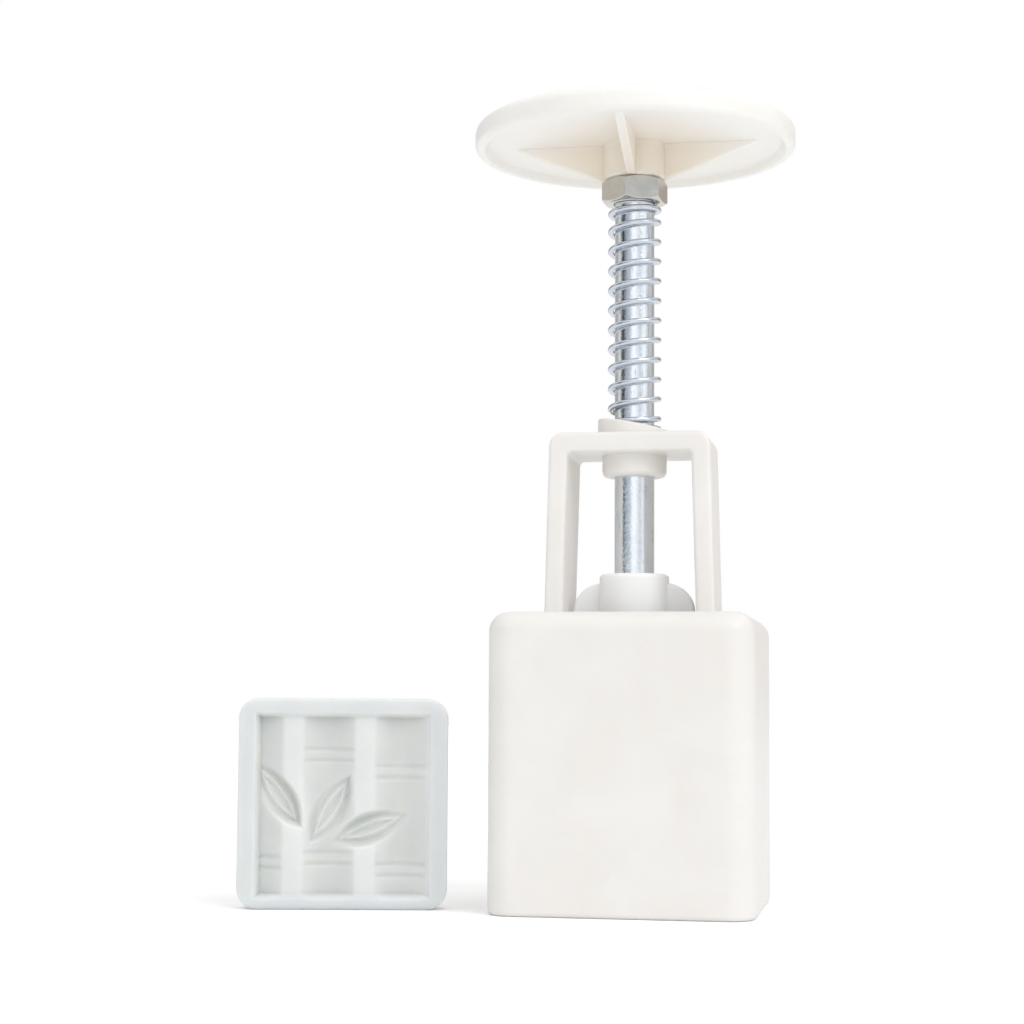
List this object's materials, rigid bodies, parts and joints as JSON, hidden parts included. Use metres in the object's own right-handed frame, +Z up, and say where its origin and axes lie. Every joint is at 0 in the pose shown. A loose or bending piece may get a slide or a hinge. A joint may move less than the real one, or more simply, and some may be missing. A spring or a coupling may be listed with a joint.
{
  "type": "mooncake press",
  "caption": "Square hand press for mooncakes with a sprung plunger, a round palm handle and a loose bamboo pattern stamp.",
  "frame": {"origin": "on the press's axis, in the plane of the barrel's open rim, which is the plane that the press and the stamp stand on", "axes": "+Z up along the plunger's axis; the arch's legs lie on either side along X; -Y is the front, which the picture shows"},
  "size_m": [0.1089, 0.0654, 0.158],
  "materials": {
    "ivory_plastic": "satin",
    "white_plastic": "satin",
    "frosted_plastic": "satin",
    "zinc_plated_steel": "semi-gloss",
    "spring_steel": "gloss"
  },
  "bodies": {
    "barrel": {"mould_barrel": "ivory_plastic", "return_spring": "spring_steel"},
    "plunger": {"pusher": "white_plastic", "plunger_rod": "zinc_plated_steel", "rod_end_washer": "zinc_plated_steel", "rod_end_nut": "zinc_plated_steel", "handle_lock_nut": "zinc_plated_steel", "palm_handle": "ivory_plastic"},
    "stamp": {"pattern_stamp": "frosted_plastic"}
  },
  "joints": [
    {"name": "plunger_slide", "type": "slide", "parent": "barrel", "child": "plunger", "axis": [0, 0, -1], "range_m": [0, 0.028], "stiffness_N_per_m": 2000, "springref_m": -0.004, "deforming": ["return_spring"]},
    {"name": "stamp_lift", "type": "slide", "parent": "barrel", "child": "stamp", "axis": [0, 0, 1], "range_m": [0, 0.06]}
  ]
}
